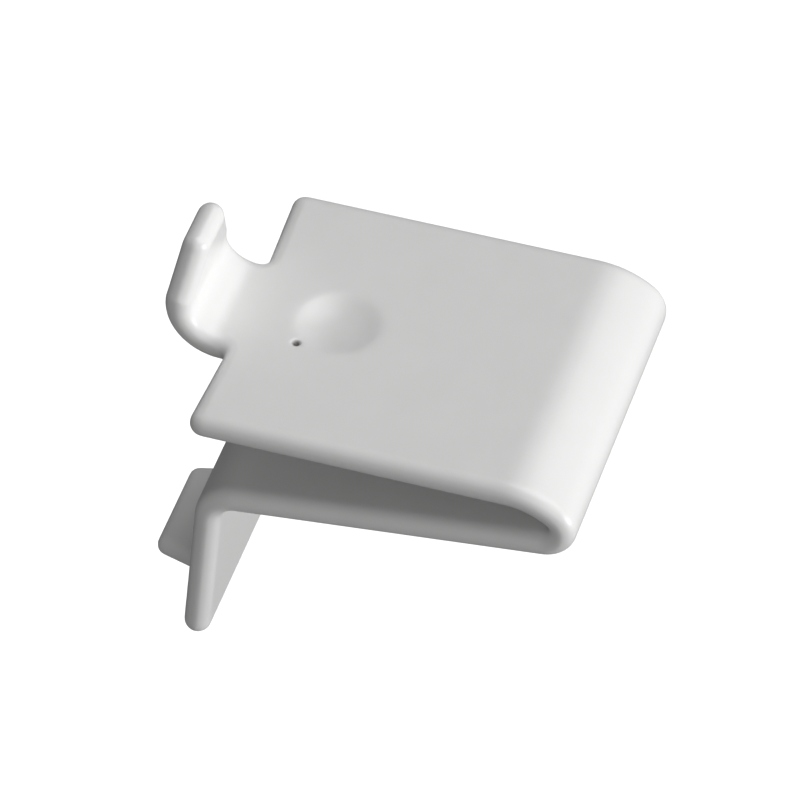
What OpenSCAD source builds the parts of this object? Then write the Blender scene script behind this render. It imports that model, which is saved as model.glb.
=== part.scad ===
// Shelf support clip: one strip of coated steel, folded into a hook, a shelf plate, a springy
// lower leaf, a flange and a tab. The top of the shelf plate is at z = 0 and the outer corners
// of its rear edge are at x = 0. The fold points to +X, the slotted upright is at -X.
// Radii of bends are given to the inside of the bend.

/* [Sheet] */
// Thickness of the bare steel
steel_t = 2; // [1.2:0.05:2.5]
// Thickness of the coating on each face
coat_t = 0.28; // [0.05:0.01:0.5]
// Width of the strip over its coating
strip_w = 31.75; // [26:0.25:45]

/* [Shelf plate] */
// Length of the flat plate, from its rear corners to the start of the fold
plate_l = 29.6; // [20:0.1:60]
// Angle by which each rear edge slants back towards its outer corner
ear_slant = 2.7; // [0:0.1:8]
// Inside radius of the notch corners beside the hook
notch_r = 0.6; // [0.3:0.05:1.5]

/* [Stamped dimple] */
// Distance of the dimple's centre from the rear corners
dimple_x = 9.2; // [8:0.1:16]
// Diameter of the dimple at the top face
dimple_d = 7.8; // [4:0.1:10]
// Depth of the dimple
dimple_depth = 0.9; // [0.3:0.05:1.2]

/* [Front fold] */
// Inside radius of the gentle upper part of the fold
fold_top_r = 6.5; // [3:0.1:12]
// Angle turned by the gentle upper part
fold_top_angle = 37.5; // [10:0.5:60]
// Inside radius of the tight lower part of the fold
fold_low_r = 0.75; // [0.3:0.05:4]
// Angle at which the two leaves spread apart
leaf_spread = 7; // [2:0.1:12]

/* [Lower leaf and flange] */
// Length of the straight lower leaf
leaf_l = 29.3; // [20:0.1:60]
// Inside radius of the bend between leaf and flange
heel_r = 1.9; // [0.5:0.05:4]
// Length of the flange from the bend to its bottom edge
flange_l = 16; // [8:0.1:30]
// Angle by which the flange leans to the rear, from square to the shelf plate
flange_lean = 5.5; // [0:0.1:10]

/* [Hook] */
// Width of the hook where it leaves the plate
hook_w = 11.9; // [8:0.1:16]
// Width of the hook at its tip
hook_tip_w = 6.6; // [6:0.1:14]
// Inside radius of the hook's bend
hook_r = 2.85; // [1:0.05:5]
// Angle turned by the hook's bend
hook_angle = 100; // [70:1:115]
// Straight length of the hook past its bend, with the rounded end
hook_l = 5.7; // [3:0.1:9]

/* [Tab] */
// Width of the tab where it leaves the flange
tab_w = 13.2; // [9:0.1:18]
// Width of the tab at its tip
tab_tip_w = 11.2; // [6:0.1:14]
// Thickness of the tab over its coating
tab_t = 2.26; // [1:0.02:2.6]
// Inside radius of the tab's bend
tab_r = 1.65; // [0.6:0.05:4]
// Straight length of the tab past its bend, with the rounded end
tab_l = 4.8; // [3:0.1:9]

/* [Hidden] */
$fn = 64;

sheet_t = steel_t + 2 * coat_t;
// Every edge is half round, so the flat middle of each leaf ends one rim radius before it
rim_r = sheet_t / 2;
strip_side = strip_w / 2 - rim_r;
hook_side = hook_w / 2 - rim_r;

// Radii to the middle of the sheet
fold_top_mid = fold_top_r + rim_r;
fold_low_mid = fold_low_r + rim_r;
heel_mid = heel_r + rim_r;
hook_mid = hook_r + rim_r;
tab_mid = tab_r + tab_t / 2;
notch_mid = notch_r + rim_r;

fold_low_angle = 180 - leaf_spread - fold_top_angle;
heel_angle = 90 - flange_lean - leaf_spread;
tab_angle = 90 - flange_lean;
// Angles tried on each side of a turn for the truest pair of sine and cosine, and the largest
// misfit of a pair at which two faces still meet
turn_tries = 60;
turn_nudge = 0.0001;
misfit_limit = 0.00000002;
// Depth at which the round corner balls lie inside the flat faces, so that they cross them cleanly.
// Round bars lie twice as deep, inside the balls.
edge_set = 0.01;
// Plan angle of the poles of the corner balls
ball_turn = 40;
// The tab starts inside the flange and its bend begins just above the flange's bottom edge
tab_start = 0.3;
tab_stub = 1;

// Plan of the rear edge, for the side at +Y: corner, end of the slanted edge, notch and hook
ear_run = (strip_side - hook_side - notch_mid * (1 + sin(ear_slant))) / cos(ear_slant);
ear_end = [rim_r + ear_run * sin(ear_slant), strip_side - ear_run * cos(ear_slant)];
notch_c = [ear_end[0] - notch_mid * cos(ear_slant), hook_side + notch_mid];
hook_x = notch_c[0];
ear_corner = [rim_r, strip_side];
notch_steps = 12;
notch_arc = [
    for (i = [0:notch_steps])
        let (a = ear_slant - i * (90 + ear_slant) / notch_steps)
        notch_c + notch_mid * [cos(a), sin(a)]
];

// Spherical seat of the dimple's punch
punch_r = (pow(dimple_d / 2, 2) + pow(dimple_depth, 2)) / (2 * dimple_depth);
punch_z = rim_r - dimple_depth + punch_r;

function flip(p) = [p[0], -p[1]];

// Value rounded to six figures
function six_figures(v) =
    v == 0 ? 0 : let (place = pow(10, 5 - floor(log(abs(v))))) round(v * place) / place;

// How far the rounded sine and cosine of an angle are from a true pair, whose squares add up to one
function misfit(angle) =
    abs(pow(six_figures(sin(angle)), 2) + pow(six_figures(cos(angle)), 2) - 1);

// Angle close to the given one whose rounded sine and cosine are the truest pair
function true_step(angle) =
    let (
        tries = [for (i = [-turn_tries:turn_tries]) angle + i * turn_nudge],
        least = min([for (t = tries) misfit(t)]),
        pick = [for (t = tries) if (misfit(t) == least) t][0]
    )
    atan2(six_figures(sin(pick)), six_figures(cos(pick)));

// Turns the heading by a step that six figures hold truly and then by the small remainder,
// so that what follows meets what came before face to face. Where there is no such step, as
// near 45 and 135 degrees, the turn is made in two halves.
module turn_down(angle) {
    step = true_step(angle);
    if (misfit(step) > misfit_limit)
        turn_down(angle / 2)
            turn_down(angle / 2)
                children();
    else
        rotate([0, step, 0])
            rotate([0, angle - step, 0])
                children();
}

// Half disc that rounds one edge, flat side on the Y axis
module rim_section(r) {
    intersection() {
        circle(r);
        translate([0, -r])
            square([r, 2 * r]);
    }
}

// Rounding of a straight edge from p: it faces the plan angle out and runs clockwise from it
module rim_bar(p, out, l, r) {
    translate([p[0], p[1], 0])
        rotate([90, 0, out])
            linear_extrude(height = l)
                rim_section(r);
}

// Rounding of a convex corner at p, from the plan angle start through sweep degrees
module rim_corner(p, start, sweep, r) {
    translate([p[0], p[1], 0])
        rotate([0, 0, start])
            rotate_extrude(angle = sweep)
                rim_section(r);
}

// Straight stretch of strip, from the origin along +X
module straight(l, w, t) {
    side = (w - t) / 2;
    translate([0, -side, -t / 2])
        cube([l, 2 * side, t]);
    rim_bar([l, -side], -90, l, t / 2);
    rim_bar([0, side], 90, l, t / 2);
}

// Sweep of a flat section round a bend towards -Z
module sweep_down(mid_r, angle) {
    translate([0, 0, -mid_r])
        rotate([-90, -90, 0])
            rotate_extrude(angle = angle)
                translate([mid_r, 0])
                    children();
}

// Bend of the strip towards -Z
module bend_down(mid_r, angle, w, t) {
    side = (w - t) / 2;
    sweep_down(mid_r, angle)
        square([t, 2 * side], center = true);
    for (edge = [-1, 1])
        sweep_down(mid_r, angle)
            translate([0, edge * side])
                rotate(edge * 90)
                    rim_section(t / 2);
}

// Bend of the strip towards +Z
module bend_up(mid_r, angle, w, t) {
    mirror([0, 0, 1])
        bend_down(mid_r, angle, w, t);
}

// Places what follows a bend towards -Z or +Z
module past_down(mid_r, angle) {
    translate([0, 0, -mid_r])
        turn_down(angle)
            translate([0, 0, mid_r])
                children();
}

module past_up(mid_r, angle) {
    translate([0, 0, mid_r])
        turn_down(-angle)
            translate([0, 0, -mid_r])
                children();
}

// Ball that rounds a corner, with its poles level and turned away from the edges
module corner_ball(p, r) {
    translate([p[0], p[1], 0])
        rotate([0, 90, ball_turn])
            sphere(r - edge_set);
}

// Round bar along a slanted edge, from the plan point p to the plan point q
module edge_bar(p, q, r) {
    run = q - p;
    translate([p[0], p[1], 0])
        rotate([0, 90, atan2(run[1], run[0])])
            cylinder(h = norm(run), r = r - 2 * edge_set);
}

// Tapered end of a tongue, from the origin along +X, with all its free edges half round
module tongue(l, w, tip_w, t) {
    r = t / 2;
    root = [0, w / 2 - r];
    tip = [l - r, tip_w / 2 - r];
    linear_extrude(height = t, center = true)
        polygon([flip(root), flip(tip), tip, root]);
    edge_bar(flip(tip), tip, r);
    for (side = [0, 1])
        mirror([0, side, 0]) {
            corner_ball(root, r);
            corner_ball(tip, r);
            edge_bar(root, tip, r);
        }
}

// Flat shelf plate with slanted rear edges and a filleted notch on each side of the hook
module shelf_plate() {
    side_outline = concat([[plate_l, strip_side], ear_corner], notch_arc);
    last = len(side_outline) - 1;
    linear_extrude(height = sheet_t, center = true)
        polygon(concat(side_outline, [for (i = [last:-1:0]) flip(side_outline[i])]));
    for (side = [0, 1])
        mirror([0, side, 0]) {
            rim_bar(ear_corner, 90, plate_l - rim_r, rim_r);
            corner_ball(ear_corner, rim_r);
            edge_bar(ear_corner, ear_end, rim_r);
            corner_ball(ear_end, rim_r);
            translate([notch_c[0], notch_c[1], 0])
                rotate([0, 0, -90])
                    rotate_extrude(angle = 90 + ear_slant)
                        translate([notch_mid, 0])
                            circle(rim_r - 2 * edge_set);
            corner_ball([hook_x, hook_side], rim_r);
        }
}

// Dent pressed into the plate from above, with the bulge that it leaves below
module dimpled_plate() {
    difference() {
        union() {
            shelf_plate();
            translate([dimple_x, 0, 0])
                intersection() {
                    translate([0, 0, punch_z])
                        sphere(punch_r + sheet_t);
                    translate([0, 0, -2 * sheet_t])
                        cylinder(h = 2 * sheet_t, d = dimple_d + sheet_t);
                }
        }
        translate([dimple_x, 0, punch_z])
            sphere(punch_r);
    }
}

// Hook that curls up behind the upright's slot
module hook() {
    translate([hook_x, 0, 0])
        mirror([1, 0, 0]) {
            bend_up(hook_mid, hook_angle, hook_w, sheet_t);
            past_up(hook_mid, hook_angle)
                tongue(hook_l, hook_w, hook_tip_w, sheet_t);
        }
}

// Tab that reaches back into a lower slot, from the bottom edge of the flange
module tab() {
    translate([-tab_start - tab_stub, 0, 0])
        straight(tab_stub, tab_w, tab_t);
    translate([-tab_start, 0, 0]) {
        bend_down(tab_mid, tab_angle, tab_w, tab_t);
        past_down(tab_mid, tab_angle)
            tongue(tab_l, tab_w, tab_tip_w, tab_t);
    }
}

// Flange that bears on the upright, with its square bottom edge and the tab
module flange() {
    run = flange_l - rim_r;
    straight(run, strip_w, sheet_t);
    translate([run, 0, 0]) {
        rim_bar([0, strip_side], 0, 2 * strip_side, rim_r);
        rim_corner([0, -strip_side], -90, 90, rim_r);
        rim_corner([0, strip_side], 0, 90, rim_r);
        tab();
    }
}

// Fold at the front, then the lower leaf, its heel and the flange
module fold_and_leaf() {
    bend_down(fold_top_mid, fold_top_angle, strip_w, sheet_t);
    past_down(fold_top_mid, fold_top_angle) {
        bend_down(fold_low_mid, fold_low_angle, strip_w, sheet_t);
        past_down(fold_low_mid, fold_low_angle) {
            straight(leaf_l, strip_w, sheet_t);
            translate([leaf_l, 0, 0]) {
                bend_up(heel_mid, heel_angle, strip_w, sheet_t);
                past_up(heel_mid, heel_angle)
                    flange();
            }
        }
    }
}

module clip() {
    color("white")
        translate([0, 0, -rim_r]) {
            dimpled_plate();
            hook();
            translate([plate_l, 0, 0])
                fold_and_leaf();
        }
}

clip();
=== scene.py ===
"""Shelf support clip: one folded strip of steel under a thick, satin white coating."""

import math

import bpy
import numpy as np
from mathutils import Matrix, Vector


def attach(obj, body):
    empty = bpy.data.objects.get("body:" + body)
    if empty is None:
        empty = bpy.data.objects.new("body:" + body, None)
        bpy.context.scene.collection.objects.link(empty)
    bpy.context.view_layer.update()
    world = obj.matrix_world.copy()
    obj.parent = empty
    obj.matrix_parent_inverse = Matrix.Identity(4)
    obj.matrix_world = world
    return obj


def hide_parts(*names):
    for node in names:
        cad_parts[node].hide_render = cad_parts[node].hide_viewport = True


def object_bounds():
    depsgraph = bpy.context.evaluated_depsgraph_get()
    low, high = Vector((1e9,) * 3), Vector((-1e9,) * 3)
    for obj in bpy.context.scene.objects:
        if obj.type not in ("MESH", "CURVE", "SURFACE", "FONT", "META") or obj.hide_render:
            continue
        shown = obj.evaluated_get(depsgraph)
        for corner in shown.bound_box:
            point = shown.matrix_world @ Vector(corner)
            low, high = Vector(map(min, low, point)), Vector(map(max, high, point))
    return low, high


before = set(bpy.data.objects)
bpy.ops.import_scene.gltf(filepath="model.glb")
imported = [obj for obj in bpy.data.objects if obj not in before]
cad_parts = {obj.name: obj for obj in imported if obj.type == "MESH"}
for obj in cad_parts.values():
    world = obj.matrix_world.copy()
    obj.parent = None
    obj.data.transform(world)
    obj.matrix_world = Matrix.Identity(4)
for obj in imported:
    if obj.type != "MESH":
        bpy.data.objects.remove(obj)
cad_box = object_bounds()

MM = 0.001

# Camera, fitted to the outlines in the photograph
LENS = 270
SENSOR = 36
CLIP_START = 0.01
CLIP_END = 20
CAM_AZIMUTH = math.radians(17.591)
CAM_ELEVATION = math.radians(45.127)
CAM_DISTANCE = 542.67 * MM
CAM_TARGET = Vector((17.304, -6.61, -1.227)) * MM

# Coated body, smoothed in and then out again, so that the form doesn't shrink
VOXEL = 0.24 * MM
SHEET_T = 2.56 * MM
SMOOTH_ROUNDS = 12
SMOOTH_IN = 0.5
SMOOTH_OUT = -0.52

# Dimple, whose rim the coating softens most
DIMPLE = Vector((9.2, 0)) * MM
DIMPLE_REACH = 6.2 * MM
DIMPLE_FADE = 1.2 * MM
DIMPLE_ROUNDS = 24
# Height between the dimple's underside and the lower leaf
UNDER_DIMPLE = -2 * SHEET_T

# Pinhole in the coating, beside the dimple, with its reach in radii, and painted shade inside it: a dark
# colour in its middle that fades out between two radii
PINHOLE = Vector((6.46, -3.59, -0.2)) * MM
PINHOLE_R = 0.42 * MM
PINHOLE_DEPTH = 0.35 * MM
PINHOLE_REACH = 1.4
SHADE_FROM = 0.5
SHADE_TO = 1.3
PINHOLE_SHADE_COLOR = (0.12, 0.115, 0.11, 1)

# Coating: colours, gloss, and the scale and detail of its noises
TONE_LOW = (0.78, 0.78, 0.775, 1)
TONE_HIGH = (0.82, 0.82, 0.816, 1)
TONE_NOISE = (180, 3)
ROUGHNESS = 0.36
COAT_IOR = 1.5
PEEL_NOISE = (900, 2)
SLOW_NOISE = (260, 1)
SLOW_SHARE = 4
BUMP_STRENGTH = 0.35
BUMP_HEIGHT = 0.02 * MM

# Floor and surround
FLOOR_DROP = 60 * MM
FLOOR_SIZE = 4.0
FLOOR_COLOR = (0.8, 0.8, 0.8, 1)
FLOOR_GLOW = 0.6
SURROUND = 0.13
WHITE = (1, 1, 1, 1)

# Lights: name, place in metres, side in metres and power in watts
LIGHT_AIM = (0.017, 0, -0.01)
LIGHTS = (
    ("side", (1.3, -0.07, 0.05), 0.4, 13.0),
    ("top", (0.45, 0.4, 1.1), 1.0, 9.8),
    ("front", (0.32, -1.1, 0.5), 0.9, 3.5),
)


def make_camera():
    """The photograph's view, through a long lens."""
    data = bpy.data.cameras.new("camera")
    data.lens = LENS
    data.sensor_width = SENSOR
    data.clip_start = CLIP_START
    data.clip_end = CLIP_END
    camera = bpy.data.objects.new("camera", data)
    bpy.context.scene.collection.objects.link(camera)
    back = Vector((
        math.sin(CAM_AZIMUTH) * math.cos(CAM_ELEVATION),
        -math.cos(CAM_AZIMUTH) * math.cos(CAM_ELEVATION),
        math.sin(CAM_ELEVATION),
    ))
    camera.location = CAM_TARGET + back * CAM_DISTANCE
    camera.rotation_mode = "QUATERNION"
    camera.rotation_quaternion = (-back).to_track_quat("-Z", "Y")
    bpy.context.scene.camera = camera


def relaxed(points, edges, rounds, steps):
    """Points after smoothing; each step moves them by its share towards the mean of their neighbours."""
    count = np.bincount(edges.ravel(), minlength=len(points))[:, None]
    for _ in range(rounds):
        for step in steps:
            total = np.zeros_like(points)
            np.add.at(total, edges[:, 0], points[edges[:, 1]])
            np.add.at(total, edges[:, 1], points[edges[:, 0]])
            points = points + step * (total / count - points)
    return points


def soft_step(v):
    """0 to 1 with level ends, for v from 0 to 1."""
    v = np.clip(v, 0, 1)
    return v * v * (3 - 2 * v)


def plan_distance(points, centre):
    """Distance of each point from the centre, seen from above."""
    return np.linalg.norm(points[:, :2] - np.array(centre)[:2], axis=1)


def soften_dimple(points, edges):
    """The sheet round the dimple, with the rim drawn out as in the photograph."""
    soft = relaxed(points, edges, DIMPLE_ROUNDS, (SMOOTH_IN,))
    share = soft_step((DIMPLE_REACH - plan_distance(points, DIMPLE)) / DIMPLE_FADE)
    share = np.where(points[:, 2] > UNDER_DIMPLE, share, 0)[:, None]
    return points + share * (soft - points)


def sink_pinhole(points):
    """The small hole that the coating left beside the dimple's rear wall."""
    away = plan_distance(points, PINHOLE) / (PINHOLE_REACH * PINHOLE_R)
    depth = PINHOLE_DEPTH * (1 - soft_step(away))
    on_top = points[:, 2] > -SHEET_T / 2
    points[:, 2] -= np.where(on_top, depth, 0)
    return points


def coated_clip():
    """The whole clip as its coating shows it: every corner softened, as a thick coat flows over it."""
    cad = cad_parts["clip"]
    raw = bpy.data.objects.new("raw", cad.data.copy())
    bpy.context.scene.collection.objects.link(raw)
    remesh = raw.modifiers.new("remesh", "REMESH")
    remesh.mode = "VOXEL"
    remesh.voxel_size = VOXEL
    shape = raw.evaluated_get(bpy.context.evaluated_depsgraph_get())
    mesh = bpy.data.meshes.new_from_object(shape)
    bpy.data.objects.remove(raw)

    points = np.empty(len(mesh.vertices) * 3)
    mesh.vertices.foreach_get("co", points)
    points = points.reshape(-1, 3)
    edges = np.empty(len(mesh.edges) * 2, dtype=np.int64)
    mesh.edges.foreach_get("vertices", edges)
    edges = edges.reshape(-1, 2)
    points = relaxed(points, edges, SMOOTH_ROUNDS, (SMOOTH_IN, SMOOTH_OUT))
    points = soften_dimple(points, edges)
    points = sink_pinhole(points)
    mesh.vertices.foreach_set("co", points.ravel())
    mesh.polygons.foreach_set("use_smooth", np.ones(len(mesh.polygons), dtype=bool))
    mesh.update()
    mesh.name = "coated_clip"
    clip = bpy.data.objects.new("coated_clip", mesh)
    bpy.context.scene.collection.objects.link(clip)
    return clip


def white_coating():
    """Satin white coating: faint orange peel, a slow unevenness and painted shade in the pinhole."""
    mat = bpy.data.materials.new("white_coating")
    mat.use_nodes = True
    nodes, links = mat.node_tree.nodes, mat.node_tree.links
    shader = nodes["Principled BSDF"]
    shader.inputs["Roughness"].default_value = ROUGHNESS
    shader.inputs["IOR"].default_value = COAT_IOR
    place = nodes.new("ShaderNodeTexCoord")

    def noise(scale, detail):
        """Noise that is fixed to the clip."""
        node = nodes.new("ShaderNodeTexNoise")
        node.inputs["Scale"].default_value = scale
        node.inputs["Detail"].default_value = detail
        links.new(place.outputs["Object"], node.inputs["Vector"])
        return node

    tone = noise(*TONE_NOISE)
    ramp = nodes.new("ShaderNodeValToRGB")
    ramp.color_ramp.elements[0].color = TONE_LOW
    ramp.color_ramp.elements[1].color = TONE_HIGH
    links.new(tone.outputs["Fac"], ramp.inputs["Fac"])

    # Painted shade: the pinhole's middle is coloured dark, in place of the shade inside the hole
    away = nodes.new("ShaderNodeVectorMath")
    away.operation = "DISTANCE"
    away.inputs[1].default_value = PINHOLE
    links.new(place.outputs["Object"], away.inputs[0])
    painted_shade = nodes.new("ShaderNodeMapRange")
    painted_shade.inputs["From Min"].default_value = SHADE_FROM * PINHOLE_R
    painted_shade.inputs["From Max"].default_value = SHADE_TO * PINHOLE_R
    links.new(away.outputs["Value"], painted_shade.inputs["Value"])
    mix = nodes.new("ShaderNodeMix")
    mix.data_type = "RGBA"
    mix.inputs["A"].default_value = PINHOLE_SHADE_COLOR
    links.new(painted_shade.outputs["Result"], mix.inputs["Factor"])
    links.new(ramp.outputs["Color"], mix.inputs["B"])
    links.new(mix.outputs["Result"], shader.inputs["Base Color"])

    peel = noise(*PEEL_NOISE)
    slow = noise(*SLOW_NOISE)
    height = nodes.new("ShaderNodeMath")
    height.operation = "MULTIPLY_ADD"
    height.inputs[1].default_value = SLOW_SHARE
    links.new(slow.outputs["Fac"], height.inputs[0])
    links.new(peel.outputs["Fac"], height.inputs[2])
    bump = nodes.new("ShaderNodeBump")
    bump.inputs["Strength"].default_value = BUMP_STRENGTH
    bump.inputs["Distance"].default_value = BUMP_HEIGHT
    links.new(height.outputs["Value"], bump.inputs["Height"])
    links.new(bump.outputs["Normal"], shader.inputs["Normal"])
    return mat


def area_light(name, place, size, power):
    """Soft square light at place, turned to the clip."""
    data = bpy.data.lights.new(name, "AREA")
    data.size = size
    data.energy = power
    light = bpy.data.objects.new(name, data)
    light.location = place
    light.rotation_mode = "QUATERNION"
    light.rotation_quaternion = (Vector(LIGHT_AIM) - Vector(place)).to_track_quat("-Z", "Y")
    bpy.context.scene.collection.objects.link(light)


def make_floor():
    """Plain pale floor, well below the part, which hangs on an upright in use."""
    bpy.ops.mesh.primitive_plane_add(size=FLOOR_SIZE, location=(0, 0, cad_box[0].z - FLOOR_DROP))
    floor = bpy.context.object
    floor.name = "floor"
    mat = bpy.data.materials.new("pale_floor")
    mat.use_nodes = True
    shader = mat.node_tree.nodes["Principled BSDF"]
    shader.inputs["Base Color"].default_value = FLOOR_COLOR
    shader.inputs["Roughness"].default_value = 1
    shader.inputs["Specular IOR Level"].default_value = 0
    shader.inputs["Emission Color"].default_value = WHITE
    shader.inputs["Emission Strength"].default_value = FLOOR_GLOW
    floor.data.materials.append(mat)
    floor.visible_diffuse = False
    floor.visible_glossy = False


def make_studio():
    """Level light on the fold's side, soft light from above, a weaker one in front and a dim surround."""
    for light in LIGHTS:
        area_light(*light)
    world = bpy.data.worlds.new("studio")
    world.use_nodes = True
    background = world.node_tree.nodes["Background"]
    background.inputs["Color"].default_value = WHITE
    background.inputs["Strength"].default_value = SURROUND
    bpy.context.scene.world = world
    bpy.context.scene.view_settings.view_transform = "Standard"


make_camera()
make_floor()
make_studio()

clip = coated_clip()
clip.data.materials.clear()
clip.data.materials.append(white_coating())
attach(clip, "root")
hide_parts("clip")
